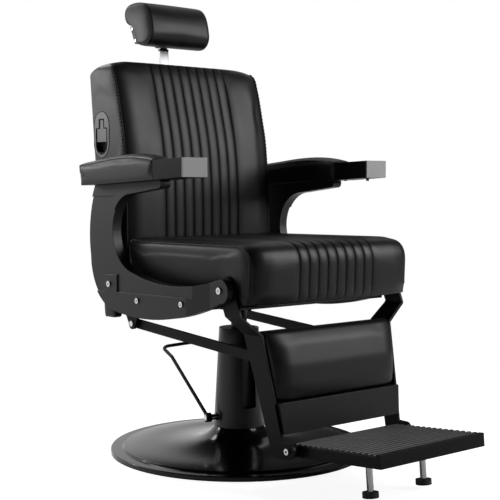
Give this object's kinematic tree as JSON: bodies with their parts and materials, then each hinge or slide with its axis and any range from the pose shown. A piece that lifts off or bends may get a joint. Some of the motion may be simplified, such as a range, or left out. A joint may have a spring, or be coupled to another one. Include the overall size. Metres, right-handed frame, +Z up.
{
  "type": "barber chair",
  "caption": "Hydraulic barber chair with a round weighted base, channelled seat and back, padded arms, adjustable headrest, and a footrest that rises as the back reclines.",
  "frame": {"origin": "on the floor at the column's axis", "axes": "+Z up, the chair faces -Y, the sitter's right is -X"},
  "size_m": [0.71, 1.1314, 1.266],
  "materials": {
    "gloss_black_enamel": "gloss black enamel",
    "satin_black_paint": "satin black powder coat",
    "black_leather": "soft black upholstery with a low sheen",
    "cast_iron": "dark casting",
    "chrome": "polished chrome plate",
    "zinc_steel": "bright zinc plate",
    "grey_metal": "satin grey",
    "pressed_steel": "black painted sheet",
    "black_plastic": "matt black",
    "black_rubber": "matt black"
  },
  "bodies": {
    "base": {"floor_pad": "black_rubber", "base_ballast": "cast_iron", "base_dome": "gloss_black_enamel", "pump_cylinder": "cast_iron", "pump_base_bolts": "zinc_steel", "cylinder_gland": "cast_iron", "column_shroud": "satin_black_paint", "lever_pivot_block": "cast_iron"},
    "lever": {"lever_shaft": "zinc_steel", "pump_lever": "satin_black_paint"},
    "plunger": {"pump_plunger": "zinc_steel"},
    "ram": {"lift_ram": "chrome", "ram_piston": "zinc_steel", "swivel_bearing": "zinc_steel"},
    "seat": {"seat_yoke": "satin_black_paint", "yoke_bolts": "zinc_steel", "column_cap": "satin_black_paint", "seat_tray": "pressed_steel", "seat_cushion": "black_leather", "side_frame_left": "satin_black_paint", "side_frame_right": "satin_black_paint", "frame_bolts": "zinc_steel", "pivot_bolts": "zinc_steel", "pivot_bushes": "black_plastic", "arm_pad_left": "black_leather", "arm_pad_right": "black_leather", "arm_block_left": "satin_black_paint", "arm_block_right": "satin_black_paint", "arm_plate_left": "grey_metal", "arm_plate_right": "grey_metal", "arm_screws": "black_plastic", "recline_spring_bracket": "satin_black_paint"},
    "backrest": {"back_board": "black_plastic", "back_frame": "satin_black_paint", "back_cushion": "black_leather", "link_pins": "zinc_steel", "headrest_socket": "satin_black_paint", "release_housing": "grey_metal"},
    "trigger": {"release_trigger": "grey_metal"},
    "post": {"headrest_post": "chrome", "headrest_collar": "black_plastic"},
    "headrest": {"headrest_cushion": "black_leather", "headrest_plate": "grey_metal", "headrest_screws": "zinc_steel", "headrest_hinge_pin": "zinc_steel"},
    "links": {"recline_link_left": "satin_black_paint", "recline_link_right": "satin_black_paint"},
    "gas_cylinder": {"gas_spring_cylinder": "pressed_steel"},
    "gas_rod": {"gas_spring_rod": "chrome"},
    "footrest": {"footrest_arm_left": "satin_black_paint", "footrest_arm_right": "satin_black_paint", "leg_panel": "satin_black_paint", "leg_pad": "black_leather", "footrest_link_pins": "zinc_steel", "footplate_bolts": "zinc_steel"},
    "footplate": {"footplate_tread": "satin_black_paint", "footplate_skirt": "satin_black_paint", "footplate_lugs": "satin_black_paint", "footplate_props": "chrome", "footplate_feet": "black_rubber"}
  },
  "joints": [
    {"name": "lift", "type": "slide", "parent": "base", "child": "ram", "axis": [0, 0, 1], "range_m": [0, 0.15]},
    {"name": "swivel", "type": "hinge", "parent": "ram", "child": "seat", "pos_m": [0, 0, 0.33], "axis": [0, 0, 1], "continuous": true},
    {"name": "recline", "type": "hinge", "parent": "seat", "child": "backrest", "pos_m": [0, 0.169, 0.467], "axis": [-1, 0, 0], "range_deg": [0, 40]},
    {"name": "release", "type": "hinge", "parent": "backrest", "child": "trigger", "pos_m": [-0.253, 0.296, 0.914], "axis": [0, 1, 0], "range_deg": [0, 20], "stiffness_Nm_per_rad": 0.6, "springref_deg": -11.46},
    {"name": "headrest_height", "type": "slide", "parent": "backrest", "child": "post", "axis": [0, 0.1045, 0.9945], "range_m": [-0.03, 0.07]},
    {"name": "headrest_tilt", "type": "hinge", "parent": "post", "child": "headrest", "pos_m": [0, 0.37146, 1.14856], "axis": [-1, 0, 0], "range_deg": [-15, 35]},
    {"name": "link_swing", "type": "hinge", "parent": "backrest", "child": "links", "pos_m": [0, 0.222, 0.345], "axis": [1, 0, 0], "range_deg": [0, 36]},
    {"name": "footrest_swing", "type": "hinge", "parent": "seat", "child": "footrest", "pos_m": [0, -0.3, 0.482], "axis": [-1, 0, 0], "range_deg": [0, 34]},
    {"name": "footplate_fold", "type": "hinge", "parent": "footrest", "child": "footplate", "pos_m": [0, -0.438, 0.1035], "axis": [-1, 0, 0], "range_deg": [0, 70]},
    {"name": "gas_cylinder_swing", "type": "hinge", "parent": "seat", "child": "gas_cylinder", "pos_m": [-0.15, 0.01, 0.404], "axis": [1, 0, 0], "range_deg": [-2.5, 0]},
    {"name": "gas_rod_swing", "type": "hinge", "parent": "backrest", "child": "gas_rod", "pos_m": [-0.15, 0.189, 0.377], "axis": [1, 0, 0], "range_deg": [0, 39]},
    {"name": "pump_stroke", "type": "hinge", "parent": "base", "child": "lever", "pos_m": [-0.06847, 0.01455, 0.096], "axis": [-0.9781, 0.2079, 0], "range_deg": [0, 22], "stiffness_Nm_per_rad": 4, "springref_deg": -20.05},
    {"name": "plunger_slide", "type": "slide", "parent": "base", "child": "plunger", "axis": [0, 0, -1], "range_m": [0, 0.006]}
  ],
  "couplings": [
    {"joint": "footrest_swing", "follows": "recline", "ratio": 0.8258},
    {"joint": "link_swing", "follows": "recline", "ratio": 0.8843},
    {"joint": "gas_cylinder_swing", "follows": "recline", "ratio": -0.056},
    {"joint": "gas_rod_swing", "follows": "recline", "ratio": 0.945},
    {"joint": "plunger_slide", "follows": "pump_stroke", "m_per_rad": 0.0138}
  ]
}
